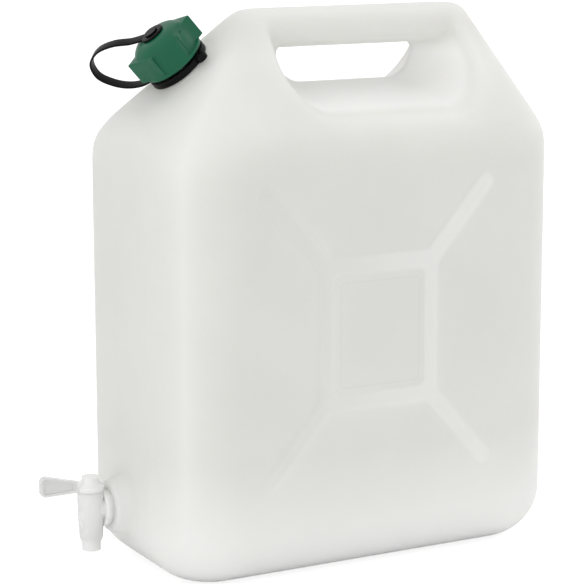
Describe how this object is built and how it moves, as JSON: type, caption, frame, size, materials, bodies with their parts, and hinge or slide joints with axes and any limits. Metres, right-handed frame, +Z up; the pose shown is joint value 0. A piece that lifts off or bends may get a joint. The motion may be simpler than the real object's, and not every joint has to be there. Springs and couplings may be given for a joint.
{
  "type": "water jerrycan",
  "caption": "Upright rectangular plastic water can with a bar grip, a tethered screw cap on its sloping shoulder and a lever tap low in the end wall.",
  "frame": {"origin": "middle of the flat base, on the surface it stands on", "axes": "+X along the broad faces, away from the tap; +Y to the back, across the narrow side; +Z up"},
  "size_m": [0.416, 0.186, 0.43],
  "materials": {
    "can_plastic": "satin, natural white",
    "cap_plastic": "satin green",
    "strap_plastic": "satin black, flexible",
    "seal_rubber": "matt",
    "tap_plastic": "satin, natural white",
    "key_plastic": "satin, slightly translucent"
  },
  "bodies": {
    "tank": {"tank": "can_plastic", "cap_strap": "strap_plastic", "tap_body": "tap_plastic", "tap_gasket": "seal_rubber"},
    "strap_rivet": {"strap_rivet": "strap_plastic"},
    "cap": {"cap": "cap_plastic", "cap_gasket": "seal_rubber"},
    "tap_key": {"tap_key": "key_plastic"}
  },
  "joints": [
    {"name": "cap_lift", "type": "slide", "parent": "tank", "child": "strap_rivet", "axis": [-0.6653, 0, 0.7466], "range_m": [0, 0.012], "deforming": ["cap_strap"]},
    {"name": "cap_turn", "type": "hinge", "parent": "strap_rivet", "child": "cap", "pos_m": [-0.12049, 0, 0.38723], "axis": [-0.6653, 0, 0.7466], "range_deg": [0, 1080]},
    {"name": "tap_key_turn", "type": "hinge", "parent": "tank", "child": "tap_key", "pos_m": [-0.2015, 0, 0.054], "axis": [0, 0, 1], "range_deg": [-90, 90]}
  ],
  "couplings": [
    {"joint": "cap_lift", "follows": "cap_turn", "m_per_rad": 0.0006366}
  ]
}
